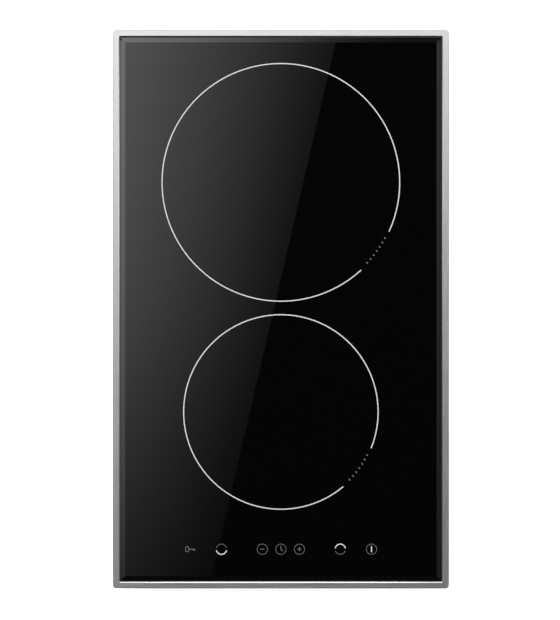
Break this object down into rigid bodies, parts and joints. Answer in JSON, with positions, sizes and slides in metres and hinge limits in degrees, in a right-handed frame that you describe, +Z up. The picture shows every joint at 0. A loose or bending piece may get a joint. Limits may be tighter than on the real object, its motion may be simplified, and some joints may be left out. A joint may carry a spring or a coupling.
{
  "type": "induction cooktop",
  "caption": "Narrow built-in induction cooktop: bevelled black glass in a brushed steel frame, with a pan, coils, fan and swivel clamps below.",
  "frame": {"origin": "middle of the footprint, on the plane of the pan's pressed feet", "axes": "+X to the user's right, +Y away from the user, +Z up out of the glass"},
  "size_m": [0.31, 0.515, 0.0575],
  "materials": {
    "brushed_steel": "brushed",
    "black_glass": "polished",
    "white_enamel": "satin",
    "grey_enamel": "satin",
    "black_silicone": "matte",
    "grey_foam": "matte",
    "galvanised_steel": "satin",
    "aluminium": "satin",
    "zinc_steel": "satin",
    "spring_steel": "satin",
    "enamelled_copper": "satin",
    "former_plastic": "matte",
    "ferrite": "matte",
    "mica": "satin",
    "black_plastic": "matte",
    "white_plastic": "satin",
    "bronze": "satin",
    "terminal_brass": "polished",
    "lamination_steel": "satin",
    "board_laminate": "satin",
    "yellow_film": "gloss",
    "transformer_tape": "satin",
    "wire_jacket": "satin",
    "grey_jacket": "satin"
  },
  "bodies": {
    "chassis": {"glass_sealant": "black_silicone", "white_print": "white_enamel", "grey_print": "grey_enamel", "rating_plate": "aluminium", "pan_screws": "zinc_steel", "carrier_pillars": "galvanised_steel", "carrier_plate": "aluminium", "coil_windings": "enamelled_copper", "coil_formers": "former_plastic", "ferrite_bars": "ferrite", "mica_discs": "mica", "temperature_sensors": "former_plastic", "coil_springs": "spring_steel", "fan_case": "black_plastic", "fan_cover": "black_plastic", "fan_bearing": "bronze", "fan_stator": "lamination_steel", "board_tray": "black_plastic", "power_board": "board_laminate", "heat_sink": "aluminium", "power_transistors": "black_plastic", "film_capacitors": "yellow_film", "electrolytic_capacitors": "aluminium", "choke_core": "ferrite", "choke_winding": "enamelled_copper", "supply_transformer": "transformer_tape", "relay_and_fuse": "black_plastic", "board_connectors": "white_plastic", "board_chips": "black_plastic", "control_bracket": "black_plastic", "control_board": "board_laminate", "control_parts": "black_plastic", "touch_pads": "grey_foam", "digit_displays": "black_plastic", "control_ribbon": "grey_jacket", "terminal_screws": "terminal_brass", "supply_wires": "wire_jacket", "signal_wires": "grey_jacket", "inner_screws": "zinc_steel", "trim_frame": "brushed_steel", "glass_plate": "black_glass", "worktop_gasket": "grey_foam", "base_pan": "galvanised_steel", "terminal_box": "black_plastic", "terminal_block": "white_plastic", "cord_clamp": "black_plastic", "clamp_brackets": "galvanised_steel"},
    "fan_rotor": {"fan_wheel": "black_plastic", "fan_magnet_ring": "ferrite", "fan_shaft": "zinc_steel"},
    "terminal_lid": {"terminal_cover": "black_plastic"},
    "rear_left_clamp_turn": {"rear_left_clamp_screw": "zinc_steel"},
    "rear_left_clamp_grip": {"rear_left_clamp_arm": "zinc_steel"},
    "rear_right_clamp_turn": {"rear_right_clamp_screw": "zinc_steel"},
    "rear_right_clamp_grip": {"rear_right_clamp_arm": "zinc_steel"},
    "front_left_clamp_turn": {"front_left_clamp_screw": "zinc_steel"},
    "front_left_clamp_grip": {"front_left_clamp_arm": "zinc_steel"},
    "front_right_clamp_turn": {"front_right_clamp_screw": "zinc_steel"},
    "front_right_clamp_grip": {"front_right_clamp_arm": "zinc_steel"}
  },
  "joints": [
    {"name": "fan_spin", "type": "hinge", "parent": "chassis", "child": "fan_rotor", "pos_m": [-0.071, 0.165, 0.018], "axis": [0, 0, 1], "continuous": true},
    {"name": "terminal_lid_lift", "type": "hinge", "parent": "chassis", "child": "terminal_lid", "pos_m": [0.02, 0.236, 0.0365], "axis": [1, 0, 0], "range_deg": [0, 110]},
    {"name": "rear_left_clamp_swing", "type": "hinge", "parent": "chassis", "child": "rear_left_clamp_turn", "pos_m": [-0.09, 0.239, 0.02], "axis": [0, 0, -1], "range_deg": [0, 90]},
    {"name": "rear_left_clamp_climb", "type": "slide", "parent": "rear_left_clamp_turn", "child": "rear_left_clamp_grip", "axis": [0, 0, 1], "range_m": [0, 0.016]},
    {"name": "rear_right_clamp_swing", "type": "hinge", "parent": "chassis", "child": "rear_right_clamp_turn", "pos_m": [0.09, 0.239, 0.02], "axis": [0, 0, 1], "range_deg": [0, 90]},
    {"name": "rear_right_clamp_climb", "type": "slide", "parent": "rear_right_clamp_turn", "child": "rear_right_clamp_grip", "axis": [0, 0, 1], "range_m": [0, 0.016]},
    {"name": "front_left_clamp_swing", "type": "hinge", "parent": "chassis", "child": "front_left_clamp_turn", "pos_m": [-0.09, -0.239, 0.02], "axis": [0, 0, 1], "range_deg": [0, 90]},
    {"name": "front_left_clamp_climb", "type": "slide", "parent": "front_left_clamp_turn", "child": "front_left_clamp_grip", "axis": [0, 0, 1], "range_m": [0, 0.016]},
    {"name": "front_right_clamp_swing", "type": "hinge", "parent": "chassis", "child": "front_right_clamp_turn", "pos_m": [0.09, -0.239, 0.02], "axis": [0, 0, -1], "range_deg": [0, 90]},
    {"name": "front_right_clamp_climb", "type": "slide", "parent": "front_right_clamp_turn", "child": "front_right_clamp_grip", "axis": [0, 0, 1], "range_m": [0, 0.016]}
  ]
}
